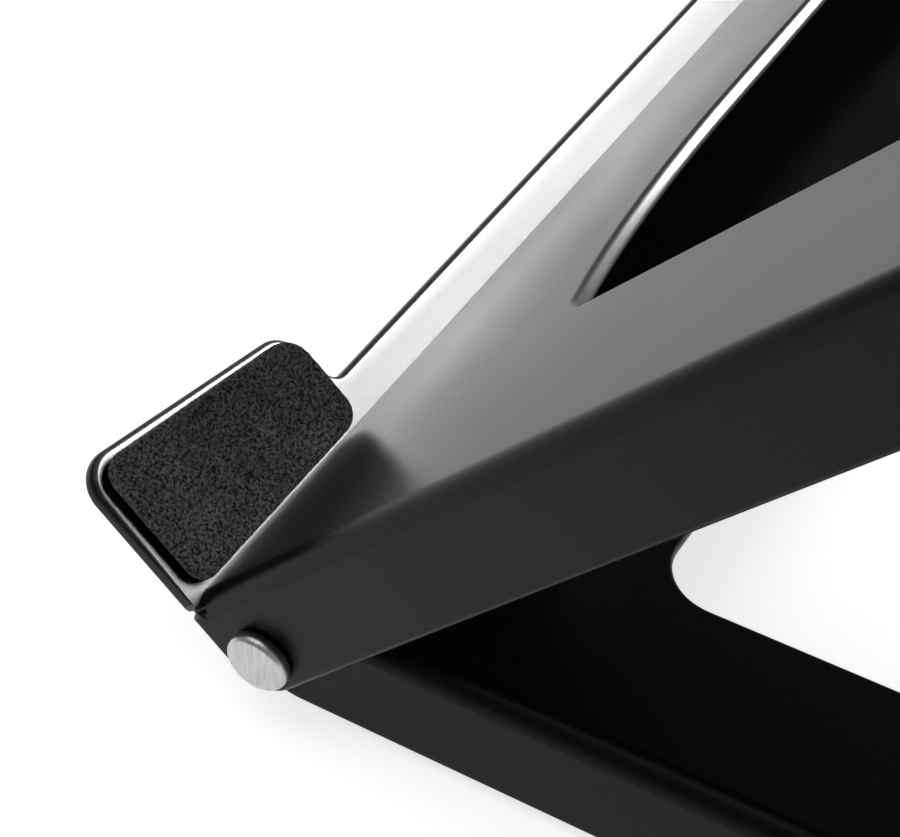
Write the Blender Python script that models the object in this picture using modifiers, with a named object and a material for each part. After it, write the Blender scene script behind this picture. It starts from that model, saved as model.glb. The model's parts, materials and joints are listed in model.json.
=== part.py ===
"""Folding laptop stand: a sheet-steel tray and base joined by two front rivets, held open by a
pair of prop links whose cross rod slides in slotted brackets under the tray."""

import bpy
import bmesh
from math import cos, sin, tan, pi, radians
from mathutils import Matrix, Vector

MM = 0.001

# Driving dimensions of the whole stand
WIDTH = 250 * MM                 # outside the tray's side flanges
SHEET = 2.2 * MM                 # powder-coated sheet
OPEN_ANGLE = radians(46.7)       # tray above base when set up
LINK_LENGTH = 100 * MM           # front hinge to prop pivot, and prop pivot to cross rod
GAP = 0.3 * MM                   # between pieces that touch

# Sheet bends and edges
BEND_OUTER = 2.8 * MM
BEND_INNER = BEND_OUTER - SHEET
EDGE_ROUND = 0.75 * MM

# Tray, measured from the hinge axis: +y to the back, +z out of its top face
TRAY_TOP = 8.7 * MM
TRAY_FRONT = -6.2 * MM
TRAY_BACK = 244 * MM
TRAY_FLANGE_LOW = -5.0 * MM
TRAY_SIDE_BAR = 34.3 * MM
TRAY_FRONT_BAR_END = 23.3 * MM
TRAY_OPENING_BACK = 216 * MM
LIP_TOP = 13.9 * MM
TAB_TOP_OUTER = 27.9 * MM
TAB_TOP_INNER = 22.5 * MM
TAB_LENGTH = 33.3 * MM
NOTCH_AT = 7.35 * MM             # bend relief between each tab and its flange

# Base, measured from the hinge axis: +y to the back, +z up
BASE_INSET = 3.1 * MM            # its flanges run inside the tray's
BASE_TOP = 4.8 * MM
BASE_FLANGE_LOW = -9.3 * MM
BASE_PLATE_FRONT = -2.0 * MM
BASE_EAR_REACH = 4.8 * MM        # unbent ear round each hinge rivet
BASE_BEND_FRONT = 5.5 * MM
BASE_BACK = 236 * MM
BASE_SIDE_BAR = 26.4 * MM
BASE_FRONT_BAR_END = 32.3 * MM
BASE_OPENING_BACK = 214 * MM
TABLE = -10.5 * MM               # the feet stand a little proud of the flanges

# Slotted brackets under the tray, and the prop
BRACKET_SHEET = 1.6 * MM
BRACKET_LOW = -6.4 * MM
BRACKET_FOOT_INSET = 28 * MM
ROD_RADIUS = 2.5 * MM
SLOT_CLEARANCE = 0.35 * MM
NOTCH_ANGLES = (46.7, 38, 28, 18)
LUG_REACH = 8 * MM
LUG_SHEET = 2.0 * MM
LINK_WIDTH = 8.4 * MM
LINK_THICKNESS = 2.0 * MM
LINK_INSET = 27.9 * MM
ROD_INSET = 26.8 * MM
TUBE_RADIUS = 4.2 * MM
PIN_RADIUS = 1.5 * MM
BORE_CLEARANCE = 0.15 * MM

# Front rivets
RIVET_RADIUS = 2.5 * MM
RIVET_HEAD_RADIUS = 3.75 * MM
RIVET_HEAD_HEIGHT = 1.6 * MM
RIVET_TAIL_RADIUS = 3.6 * MM
WASHER_THICKNESS = 0.4 * MM

# Soft pieces and feet
PAD_STANDS = 2.0 * MM            # pad face above the tab it sticks to
GRIP_HEIGHT = 1.5 * MM
FOOT_RADIUS = 6 * MM
FOOT_X = WIDTH / 2 - 15 * MM
FOOT_PLACES = (22 * MM, 222 * MM)
ARC_STEP = radians(18)

SIDES = {"right": 1, "left": -1}

FLAT = Matrix.Identity(4)
SIDE_ON = Matrix(((0, 0, 1, 0), (1, 0, 0, 0), (0, 1, 0, 0), (0, 0, 0, 1)))
END_ON = Matrix(((1, 0, 0, 0), (0, 0, -1, 0), (0, 1, 0, 0), (0, 0, 0, 1)))


def clear_scene():
    for obj in list(bpy.data.objects):
        bpy.data.objects.remove(obj, do_unlink=True)


def new_collection(name):
    collection = bpy.data.collections.new(name)
    bpy.context.scene.collection.children.link(collection)
    return collection


def new_material(name, color, roughness, metallic=0.0):
    material = bpy.data.materials.new(name)
    material.use_nodes = True
    shader = material.node_tree.nodes["Principled BSDF"]
    shader.inputs["Base Color"].default_value = (*color, 1)
    shader.inputs["Roughness"].default_value = roughness
    shader.inputs["Metallic"].default_value = metallic
    return material


def rounded(corners):
    """Outline through (u, v, radius) corners, each corner with a radius turned into an arc."""
    points = []
    for i, (u, v, radius) in enumerate(corners):
        here = Vector((u, v))
        if radius == 0:
            points.append(here)
            continue
        before = (Vector(corners[i - 1][:2]) - here).normalized()
        after = (Vector(corners[(i + 1) % len(corners)][:2]) - here).normalized()
        opening = before.angle(after)
        centre = here + (before + after).normalized() * radius / sin(opening / 2)
        start = here + before * radius / tan(opening / 2) - centre
        turn = pi - opening
        if before.x * after.y - before.y * after.x > 0:
            turn = -turn
        steps = max(2, round(abs(turn) / ARC_STEP))
        for k in range(steps + 1):
            points.append(centre + Matrix.Rotation(turn * k / steps, 2) @ start)
    return points


def mirrored(corners):
    """Closes a right-hand half outline with its mirror image across u = 0."""
    return corners + [(-u, v, radius) for u, v, radius in reversed(corners)]


def circle(u, v, radius, steps=24):
    return [Vector((u + radius * cos(2 * pi * k / steps), v + radius * sin(2 * pi * k / steps)))
            for k in range(steps)]


def weld(mesh):
    shape = bmesh.new()
    shape.from_mesh(mesh)
    bmesh.ops.remove_doubles(shape, verts=shape.verts, dist=1e-6)
    for vert in shape.verts:
        vert.co = [round(c, 7) for c in vert.co]
    bmesh.ops.recalc_face_normals(shape, faces=shape.faces)
    shape.to_mesh(mesh)
    shape.free()


def slab(name, collection, outlines, low, high, plane=FLAT):
    """Flat outline, with any further outlines as holes, made solid from low to high."""
    curve = bpy.data.curves.new(name, "CURVE")
    curve.dimensions = "2D"
    curve.fill_mode = "BOTH"
    curve.extrude = (high - low) / 2
    for outline in outlines:
        spline = curve.splines.new("POLY")
        spline.points.add(len(outline) - 1)
        for point, (u, v) in zip(spline.points, outline):
            point.co = (u, v, 0, 1)
        spline.use_cyclic_u = True
    guide = bpy.data.objects.new(name + "_outline", curve)
    collection.objects.link(guide)
    evaluated = guide.evaluated_get(bpy.context.evaluated_depsgraph_get())
    mesh = bpy.data.meshes.new_from_object(evaluated)
    mesh.transform(plane @ Matrix.Translation((0, 0, (low + high) / 2)))
    bpy.data.objects.remove(guide, do_unlink=True)
    bpy.data.curves.remove(curve)
    weld(mesh)
    mesh.name = name
    obj = bpy.data.objects.new(name, mesh)
    collection.objects.link(obj)
    return obj


def box(name, collection, low, high):
    mesh = bpy.data.meshes.new(name)
    shape = bmesh.new()
    bmesh.ops.create_cube(shape, size=1)
    size = Vector(high) - Vector(low)
    bmesh.ops.transform(shape, matrix=Matrix.Translation((Vector(low) + Vector(high)) / 2)
                        @ Matrix.Diagonal((*size, 1)), verts=shape.verts)
    shape.to_mesh(mesh)
    shape.free()
    obj = bpy.data.objects.new(name, mesh)
    collection.objects.link(obj)
    return obj


def turned(name, collection, profile, steps=24):
    """Solid of revolution about X, from (distance along X, radius) points."""
    mesh = bpy.data.meshes.new(name)
    count = len(profile)
    loop = [(i, (i + 1) % count) for i in range(count if profile[0][1] > 0 else count - 1)]
    mesh.from_pydata([(along, 0, radius) for along, radius in profile], loop, [])
    outline = bpy.data.objects.new(name, mesh)
    collection.objects.link(outline)
    screw = outline.modifiers.new("turn", "SCREW")
    screw.axis = "X"
    screw.steps = steps
    screw.render_steps = steps
    screw.use_merge_vertices = True
    screw.merge_threshold = 1e-6
    evaluated = outline.evaluated_get(bpy.context.evaluated_depsgraph_get())
    solid = bpy.data.meshes.new_from_object(evaluated)
    outline.modifiers.clear()
    outline.data = solid
    weld(solid)
    return outline


def apply_steps(obj):
    """Turns the piece's modifiers into its mesh."""
    evaluated = obj.evaluated_get(bpy.context.evaluated_depsgraph_get())
    shaped = bpy.data.meshes.new_from_object(evaluated)
    obj.modifiers.clear()
    obj.data = shaped


def merge_flat_faces(mesh):
    shape = bmesh.new()
    shape.from_mesh(mesh)
    bmesh.ops.remove_doubles(shape, verts=shape.verts, dist=0.005 * MM)
    bmesh.ops.dissolve_limit(shape, angle_limit=radians(0.3), verts=shape.verts, edges=shape.edges)
    bmesh.ops.dissolve_degenerate(shape, edges=shape.edges, dist=0.005 * MM)
    shape.to_mesh(mesh)
    shape.free()


def combine(obj, other, operation):
    """Joins, cuts or trims obj by another shape, which is used up."""
    step = obj.modifiers.new(operation.lower(), "BOOLEAN")
    step.operation = operation
    # The exact solver leaves open seams where bends run into flush faces.
    step.solver = "MANIFOLD"
    step.object = other
    apply_steps(obj)
    merge_flat_faces(obj.data)
    bpy.data.objects.remove(other, do_unlink=True)


def round_edges(obj, width=EDGE_ROUND, segments=2, angle=50, leave=()):
    """Rounds every edge sharper than `angle`, except those inside a (low, high) box in `leave`."""
    shape = bmesh.new()
    shape.from_mesh(obj.data)
    sharp = []
    for edge in shape.edges:
        left = any(all(inside(vert.co, *zone) for vert in edge.verts) for zone in leave)
        if edge.calc_face_angle() > radians(angle) and not left:
            sharp.append(edge)
    bmesh.ops.bevel(shape, geom=sharp, offset=width, offset_type="OFFSET", segments=segments,
                    profile=0.5, affect="EDGES", clamp_overlap=False)
    bmesh.ops.remove_doubles(shape, verts=shape.verts, dist=0.01 * MM)
    shape.to_mesh(obj.data)
    shape.free()


def inside(point, low, high):
    """True where a point, on either side of the middle plane, lies in the right-hand box."""
    point = (abs(point.x), point.y, point.z)
    return all(a <= value <= b for a, value, b in zip(low, point, high))


def finish(obj, parent, material):
    """Hangs a piece on its parent frame and gives it its material."""
    obj.parent = parent
    obj.data.materials.append(material)
    obj.data.shade_smooth()
    obj.data.set_sharp_from_angle(angle=radians(40))
    return obj


def bent_strip(name, collection, run_in, top, flange_low, outer, low, high, plane, sheet=SHEET):
    """Strip bent down at `outer`: flat from run_in at height `top`, then a flange to flange_low."""
    side = 1 if outer > run_in else -1
    bend = BEND_INNER + sheet
    outline = rounded([
        (run_in, top, 0), (outer, top, bend), (outer, flange_low, 0),
        (outer - side * sheet, flange_low, 0), (outer - side * sheet, top - sheet, BEND_INNER),
        (run_in, top - sheet, 0)])
    return slab(name, collection, [outline], low, high, plane)


def channel(name, half_width, top, flange_low, front, back):
    """Plate with both side edges bent down, running from front to back."""
    inner = half_width - SHEET
    outline = rounded([
        (half_width, flange_low, 0), (half_width, top, BEND_OUTER),
        (-half_width, top, BEND_OUTER), (-half_width, flange_low, 0),
        (-inner, flange_low, 0), (-inner, top - SHEET, BEND_INNER),
        (inner, top - SHEET, BEND_INNER), (inner, flange_low, 0)])
    return slab(name, PARTS, [outline], -back, -front, END_ON)


def pin_hole(x, y, z, radius):
    outline = circle(y, z, radius)
    return slab("pin_hole", GUIDES, [outline], x - 6 * MM, x + 6 * MM, SIDE_ON)


def tray_opening():
    """Opening whose front edge sweeps up at both ends before small corner rounds."""
    half = WIDTH / 2 - TRAY_SIDE_BAR
    sweep_radius = 143 * MM
    sweep_start = 36 * MM
    corner_run = 3.2 * MM
    steps = 8
    sweep = []
    for k in range(steps + 1):
        x = sweep_start + (half - corner_run - sweep_start) * k / steps
        rise = sweep_radius - (sweep_radius ** 2 - (x - sweep_start) ** 2) ** 0.5
        sweep.append((x, TRAY_FRONT_BAR_END + rise, 0))
    last = sweep[-1]
    corner = [(half, last[1] + 2.6 * MM, 2.4 * MM), (half, TRAY_OPENING_BACK, 12 * MM)]
    outline = rounded(mirrored(sweep + corner))
    return slab("tray_opening", GUIDES, [outline], TRAY_TOP - 4 * MM, TRAY_TOP + 4 * MM)


def half_turn(u, radius, side):
    """Round end of a slot: an arc about (u, 0) from one edge of the slot to the other."""
    return [Vector((u + side * radius * sin(pi * k / 8), -side * radius * cos(pi * k / 8)))
            for k in range(1, 8)]


def slot_outline():
    """Straight slot for the cross rod, with a shallow notch above it for each height."""
    half = ROD_RADIUS + SLOT_CLEARANCE
    front = rod_distance(NOTCH_ANGLES[0])
    back = 2 * LINK_LENGTH
    notch = 1.0 * MM
    points = [Vector((front, -half)), Vector((back, -half))]
    points += half_turn(back, half, 1)
    points.append(Vector((back, half)))
    for angle in reversed(NOTCH_ANGLES):
        centre = rod_distance(angle)
        for k in range(7):
            turn = pi * k / 6
            u = centre + half * cos(turn)
            points.append(Vector((u, half + notch * sin(turn))))
    points += half_turn(front, half, -1)
    return points


def rod_distance(angle_deg):
    """Hinge axis to cross rod, for a prop whose two sides are both LINK_LENGTH long."""
    return 2 * LINK_LENGTH * cos(radians(angle_deg))


def build_tray(hinge, steel):
    half = WIDTH / 2
    flat_half = half - BEND_OUTER
    tray = channel("tray_frame", half, TRAY_TOP, TRAY_FLANGE_LOW,
                   TRAY_FRONT - 3 * MM, TRAY_BACK - 3.4 * MM)
    sides = rounded([
        (TRAY_FRONT, TRAY_TOP + 5 * MM, 0), (TRAY_FRONT, TRAY_FLANGE_LOW, 4.8 * MM),
        (TRAY_BACK, TRAY_FLANGE_LOW, 0), (TRAY_BACK, TRAY_TOP + 5 * MM, 0)])
    side_shape = slab("tray_side_shape", GUIDES, [sides], -half - MM, half + MM, SIDE_ON)
    combine(tray, side_shape, "INTERSECT")
    upright = rounded(mirrored([
        (half - SHEET, TRAY_TOP - SHEET, 0), (half - SHEET, TRAY_TOP - BEND_OUTER, 0),
        (half, TRAY_TOP - BEND_OUTER, 0), (half, TAB_TOP_OUTER, 4 * MM),
        (half - TAB_LENGTH, TAB_TOP_INNER, 4 * MM),
        (half - TAB_LENGTH - 1.6 * MM, LIP_TOP, 2 * MM)]))
    lip = slab("lip_and_tabs", GUIDES, [upright], -TRAY_FRONT - SHEET, -TRAY_FRONT, END_ON)
    combine(tray, lip, "UNION")
    back_flange = bent_strip("tray_back_flange", GUIDES, TRAY_BACK - 12 * MM, TRAY_TOP,
                             TRAY_FLANGE_LOW, TRAY_BACK, -half + 3.4 * MM, half - 3.4 * MM, SIDE_ON)
    combine(tray, back_flange, "UNION")
    combine(tray, tray_opening(), "DIFFERENCE")
    tab_root = ((flat_half - MM, TRAY_FRONT + SHEET - 0.1 * MM, TRAY_TOP - BEND_OUTER - 0.1 * MM),
                (half + MM, TRAY_FRONT + SHEET + 0.1 * MM, TRAY_TOP + 0.1 * MM))
    round_edges(tray, leave=[tab_root])
    under_lip = rounded([
        (TRAY_FRONT - MM, TRAY_TOP - 4 * MM, 0), (TRAY_FRONT - MM, TRAY_TOP + BEND_INNER, 0),
        (TRAY_FRONT, TRAY_TOP + BEND_INNER, 0), (TRAY_FRONT, TRAY_TOP - SHEET, BEND_OUTER),
        (TRAY_FRONT + BEND_OUTER, TRAY_TOP - SHEET, 0),
        (TRAY_FRONT + BEND_OUTER, TRAY_TOP - 4 * MM, 0)])
    corner = slab("under_lip", GUIDES, [under_lip], -flat_half, flat_half, SIDE_ON)
    combine(tray, corner, "DIFFERENCE")
    for side in SIDES.values():
        face = side * (half - 0.1 * MM)
        root = side * (half - MM)
        notch = rounded([
            (side * (half + MM), NOTCH_AT - 0.8 * MM, 0), (face, NOTCH_AT - 0.45 * MM, 0),
            (root, NOTCH_AT - 0.15 * MM, 0.1 * MM), (root, NOTCH_AT + 0.15 * MM, 0.1 * MM),
            (side * (half - 0.5 * MM), NOTCH_AT + 0.5 * MM, 0), (face, NOTCH_AT + 1.2 * MM, 0),
            (side * (half + MM), NOTCH_AT + 1.8 * MM, 0)])
        relief = slab("bend_relief", GUIDES, [notch], 3.2 * MM, 7.2 * MM, END_ON)
        combine(tray, relief, "DIFFERENCE")
        combine(tray, pin_hole(side * half, 0, 0, RIVET_RADIUS + BORE_CLEARANCE), "DIFFERENCE")
    return finish(tray, hinge, steel)


def build_base(frame, steel):
    half = WIDTH / 2 - BASE_INSET
    base = channel("base_frame", half, BASE_TOP, BASE_FLANGE_LOW,
                   BASE_BEND_FRONT, BASE_BACK - 3.4 * MM)
    bar_half = half - SHEET - 5 * MM
    front_bar = box("base_front_bar", GUIDES, (-bar_half, BASE_PLATE_FRONT, BASE_TOP - SHEET),
                    (bar_half, BASE_BEND_FRONT + 8 * MM, BASE_TOP))
    combine(base, front_bar, "UNION")
    back_flange = bent_strip("base_back_flange", GUIDES, BASE_BACK - 12 * MM, BASE_TOP,
                             BASE_FLANGE_LOW, BASE_BACK, -half + 3.4 * MM, half - 3.4 * MM, SIDE_ON)
    combine(base, back_flange, "UNION")
    inner = WIDTH / 2 - BASE_SIDE_BAR
    outline = rounded(mirrored([
        (inner, BASE_FRONT_BAR_END, 7.5 * MM), (inner, BASE_OPENING_BACK, 7.5 * MM)]))
    opening = slab("base_opening", GUIDES, [outline], BASE_TOP - 5 * MM, BASE_TOP + 4 * MM)
    combine(base, opening, "DIFFERENCE")
    flat_top = BASE_TOP - BEND_OUTER
    ear = rounded([
        (-BASE_EAR_REACH, BASE_EAR_REACH, 4.6 * MM), (BASE_BEND_FRONT, BASE_EAR_REACH, 0),
        (BASE_BEND_FRONT, flat_top, 0), (BASE_BEND_FRONT + 2 * MM, flat_top, 0),
        (BASE_BEND_FRONT + 2 * MM, BASE_FLANGE_LOW, 0), (-BASE_EAR_REACH, BASE_FLANGE_LOW, 7 * MM)])
    for side in SIDES.values():
        low_x, high_x = sorted((side * (half - SHEET), side * half))
        combine(base, slab("hinge_ear", GUIDES, [ear], low_x, high_x, SIDE_ON), "UNION")
    ear_root = ((half - BEND_OUTER - MM, BASE_BEND_FRONT - 0.1 * MM, flat_top - 0.1 * MM),
                (half + MM, BASE_BEND_FRONT + 0.1 * MM, BASE_TOP + 0.1 * MM))
    round_edges(base, leave=[ear_root])
    for side in SIDES.values():
        low_x, high_x = sorted((side * (half - BEND_OUTER - MM), side * (half + MM)))
        slit = box("ear_slit", GUIDES, (low_x, BASE_EAR_REACH, flat_top),
                   (high_x, BASE_BEND_FRONT + 0.9 * MM, BASE_TOP + 2 * MM))
        combine(base, slit, "DIFFERENCE")
        combine(base, pin_hole(side * half, 0, 0, RIVET_RADIUS + BORE_CLEARANCE), "DIFFERENCE")
    return finish(base, frame, steel)


def across(side, inset):
    """World x of a point `inset` in from the outside of the tray's side flange."""
    return side * (WIDTH / 2 - inset)


def ring(name, side, insets, bore, radius, steps=24):
    """Washer or clip round the X axis, between two insets."""
    low, high = sorted(across(side, inset) for inset in insets)
    rim = min(0.15 * MM, (high - low) / 3)
    profile = [(low, bore), (low, radius - rim), (low + rim, radius), (high - rim, radius),
               (high, radius - rim), (high, bore)]
    return turned(name, PARTS, profile, steps)


def hinge_rivet(name, side):
    """Low round head outside the tray's flange, shank, and a pressed tail inside the base's ear."""
    seat = -GAP
    outside = seat - RIVET_HEAD_HEIGHT
    tail = BASE_INSET + SHEET + GAP
    points = [
        (outside, 0), (outside, 0.55 * RIVET_HEAD_RADIUS),
        (outside + 0.08 * RIVET_HEAD_HEIGHT, 0.78 * RIVET_HEAD_RADIUS),
        (outside + 0.22 * RIVET_HEAD_HEIGHT, 0.92 * RIVET_HEAD_RADIUS),
        (outside + 0.45 * RIVET_HEAD_HEIGHT, RIVET_HEAD_RADIUS), (seat, RIVET_HEAD_RADIUS),
        (seat, RIVET_RADIUS), (tail, RIVET_RADIUS), (tail, RIVET_TAIL_RADIUS),
        (tail + 0.7 * MM, RIVET_TAIL_RADIUS), (tail + 1.1 * MM, 0.75 * RIVET_TAIL_RADIUS),
        (tail + 1.1 * MM, 0)]
    return turned(name, PARTS, [(across(side, inset), radius) for inset, radius in points], 32)


def build_hinge(frame, steel, nylon):
    for name, side in SIDES.items():
        finish(hinge_rivet("hinge_rivet_" + name, side), frame, steel)
        middle = (SHEET + BASE_INSET) / 2
        washer = ring("hinge_washer_" + name, side,
                      (middle - WASHER_THICKNESS / 2, middle + WASHER_THICKNESS / 2),
                      RIVET_RADIUS + BORE_CLEARANCE, 4.4 * MM)
        finish(washer, frame, nylon)


def build_brackets(frame, tray_hinge, steel):
    """Slotted angles under the tray for the cross rod, and lugs under the base for the prop links."""
    slide_front = rod_distance(NOTCH_ANGLES[0]) - 9 * MM
    slide_back = 2 * LINK_LENGTH + 9 * MM
    lug_top = BASE_TOP - SHEET - GAP
    lug_front = LINK_LENGTH - LUG_REACH
    lug_back = LINK_LENGTH + LUG_REACH
    lug_outline = rounded([
        (lug_front, lug_top, 0), (lug_front, BRACKET_LOW, 4 * MM),
        (lug_back, BRACKET_LOW, 4 * MM), (lug_back, lug_top, 0)])
    for name, side in SIDES.items():
        slide = bent_strip("slide_bracket_" + name, PARTS, across(side, BRACKET_FOOT_INSET),
                           TRAY_TOP - SHEET - GAP, BRACKET_LOW, across(side, TRAY_SIDE_BAR),
                           -slide_back, -slide_front, END_ON, BRACKET_SHEET)
        round_edges(slide, 0.3 * MM, 1)
        middle = across(side, TRAY_SIDE_BAR - BRACKET_SHEET / 2)
        slot = slab("rod_slot", GUIDES, [slot_outline()],
                    middle - 1.4 * MM, middle + 1.4 * MM, SIDE_ON)
        combine(slide, slot, "DIFFERENCE")
        finish(slide, tray_hinge, steel)
        low_x, high_x = sorted(across(side, BASE_SIDE_BAR - sheet) for sheet in (0, LUG_SHEET))
        lug = slab("prop_lug_" + name, PARTS, [lug_outline], low_x, high_x, SIDE_ON)
        round_edges(lug, 0.3 * MM, 1)
        combine(lug, pin_hole(low_x, LINK_LENGTH, 0, PIN_RADIUS + BORE_CLEARANCE), "DIFFERENCE")
        finish(lug, frame, steel)


def build_prop_pivots(frame, steel, nylon):
    """Pins swaged into the base's lugs, with their heads inside the prop links."""
    for name, side in SIDES.items():
        start = BASE_SIDE_BAR - LUG_SHEET
        seat = LINK_INSET + LINK_THICKNESS + GAP
        insets = [
            (start, 0), (start, PIN_RADIUS), (seat, PIN_RADIUS), (seat, 3.4 * MM),
            (seat + 0.6 * MM, 3.3 * MM), (seat + 1.1 * MM, 2.3 * MM), (seat + 1.1 * MM, 0)]
        profile = [(across(side, inset), radius) for inset, radius in insets]
        pin = turned("prop_pivot_pin_" + name, PARTS, profile)
        washer = ring("prop_pivot_washer_" + name, side, (BASE_SIDE_BAR + GAP, LINK_INSET - GAP),
                      PIN_RADIUS + BORE_CLEARANCE, 4.0 * MM)
        for piece, material in ((pin, steel), (washer, nylon)):
            piece.location = (0, LINK_LENGTH, 0)
            finish(piece, frame, material)


def build_prop(pivot, black_steel, bright_steel, nylon):
    """Prop in its own frame: origin on the pivot pins, +y along the links to the cross rod."""
    half = LINK_WIDTH / 2
    end = LINK_LENGTH + half
    radius = half * 0.98
    outline = rounded([
        (-half, -half, radius), (end, -half, radius), (end, half, radius), (-half, half, radius)])
    bores = [circle(0, 0, PIN_RADIUS + BORE_CLEARANCE),
             circle(LINK_LENGTH, 0, ROD_RADIUS + BORE_CLEARANCE)]
    bracket_outer = TRAY_SIDE_BAR - BRACKET_SHEET
    for name, side in SIDES.items():
        low, high = sorted(across(side, LINK_INSET + depth) for depth in (0, LINK_THICKNESS))
        link_bar = slab("prop_link_" + name, PARTS, [outline] + bores, low, high, SIDE_ON)
        round_edges(link_bar, 0.4 * MM, 1)
        finish(link_bar, pivot, black_steel)
        clip = ring("rod_clip_" + name, side, (LINK_INSET - GAP - 0.6 * MM, LINK_INSET - GAP),
                    ROD_RADIUS + BORE_CLEARANCE, 3.9 * MM)
        spacer = ring("rod_washer_" + name, side,
                      (LINK_INSET + LINK_THICKNESS + GAP, bracket_outer - GAP),
                      ROD_RADIUS + BORE_CLEARANCE, 4.3 * MM)
        for piece, material in ((clip, bright_steel), (spacer, nylon)):
            piece.location = (0, LINK_LENGTH, 0)
            finish(piece, pivot, material)
    rod_end = WIDTH / 2 - ROD_INSET
    chamfer = 0.5 * MM
    rod = turned("prop_cross_rod", PARTS, [
        (-rod_end, 0), (-rod_end, ROD_RADIUS - chamfer), (-rod_end + chamfer, ROD_RADIUS),
        (rod_end - chamfer, ROD_RADIUS), (rod_end, ROD_RADIUS - chamfer), (rod_end, 0)])
    tube_end = WIDTH / 2 - TRAY_SIDE_BAR - 2 * GAP
    bore = ROD_RADIUS + BORE_CLEARANCE
    tube = turned("rod_spacer_tube", PARTS, [
        (-tube_end, bore), (-tube_end, TUBE_RADIUS), (tube_end, TUBE_RADIUS), (tube_end, bore)])
    for piece, material in ((rod, bright_steel), (tube, nylon)):
        piece.location = (0, LINK_LENGTH, 0)
        finish(piece, pivot, material)


def build_feet(frame, rubber):
    """Rubber bumpers stuck under the plate's corners."""
    top = BASE_TOP - SHEET - GAP
    profile = [
        (TABLE, 0), (TABLE, FOOT_RADIUS - 1.2 * MM), (TABLE + 0.8 * MM, FOOT_RADIUS - 0.3 * MM),
        (TABLE + 2.5 * MM, FOOT_RADIUS), (top, FOOT_RADIUS), (top, 0)]
    for end, y in zip(("front", "back"), FOOT_PLACES):
        for name, side in SIDES.items():
            foot = turned(f"rubber_foot_{end}_{name}", PARTS, profile)
            foot.location = (side * FOOT_X, y, 0)
            foot.rotation_euler = (0, -pi / 2, 0)
            finish(foot, frame, rubber)


def build_soft_pieces(tray_hinge, foam, rubber):
    """Foam pads on the tabs that hold the laptop's front edge, and grip strips near the back."""
    face = TRAY_FRONT + SHEET
    for name, side in SIDES.items():
        outline = rounded([
            (across(side, 0.9 * MM), 9.3 * MM, 2.5 * MM), (across(side, 0.9 * MM), 27.1 * MM, 2.8 * MM),
            (across(side, 33.2 * MM), 22.1 * MM, 4 * MM), (across(side, 33.2 * MM), 9.3 * MM, 3 * MM)])
        pad = slab("lip_pad_" + name, PARTS, [outline],
                   -face - PAD_STANDS, -face - 0.2 * MM, END_ON)
        round_edges(pad, 0.4 * MM, 1)
        finish(pad, tray_hinge, foam)
        strip_outline = rounded([
            (across(side, 24 * MM), 222 * MM, 5 * MM), (across(side, 24 * MM), 234 * MM, 5 * MM),
            (across(side, 84 * MM), 234 * MM, 5 * MM), (across(side, 84 * MM), 222 * MM, 5 * MM)])
        strip = slab("grip_strip_" + name, PARTS, [strip_outline],
                     TRAY_TOP + 0.2 * MM, TRAY_TOP + GRIP_HEIGHT)
        round_edges(strip, 0.3 * MM, 1)
        finish(strip, tray_hinge, rubber)


def empty(name, parent, location, turn=0.0):
    marker = bpy.data.objects.new(name, None)
    marker.location = location
    marker.rotation_euler = (turn, 0, 0)
    marker.parent = parent
    PARTS.objects.link(marker)
    return marker


def main():
    powder_coat = new_material("black_powder_coat", (0.018, 0.018, 0.02), 0.42)
    zinc_steel = new_material("polished_steel", (0.62, 0.62, 0.63), 0.22, 1.0)
    black_foam = new_material("black_foam", (0.03, 0.03, 0.032), 0.95)
    black_rubber = new_material("black_rubber", (0.02, 0.02, 0.02), 0.7)
    white_nylon = new_material("natural_nylon", (0.75, 0.73, 0.68), 0.5)

    tab_reach = TRAY_FRONT * cos(OPEN_ANGLE) - (TAB_TOP_OUTER - 0.7 * MM) * sin(OPEN_ANGLE)
    middle = (tab_reach + BASE_BACK) / 2
    frame = empty("hinge_axis", None, (0, -middle, -TABLE))
    tray_hinge = empty("tray_hinge", frame, (0, 0, 0), OPEN_ANGLE)
    prop_pivot = empty("prop_pivot", frame, (0, LINK_LENGTH, 0), 2 * OPEN_ANGLE)

    build_base(frame, powder_coat)
    build_feet(frame, black_rubber)
    build_hinge(frame, zinc_steel, white_nylon)
    build_brackets(frame, tray_hinge, powder_coat)
    build_prop_pivots(frame, zinc_steel, white_nylon)
    build_tray(tray_hinge, powder_coat)
    build_soft_pieces(tray_hinge, black_foam, black_rubber)
    build_prop(prop_pivot, powder_coat, zinc_steel, white_nylon)


clear_scene()
PARTS = new_collection("laptop_stand")
GUIDES = new_collection("cutters")
main()
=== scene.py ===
import json
from math import cos, sin, tan, pi, radians

import bmesh
import bpy
from mathutils import Matrix, Vector, noise


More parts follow.
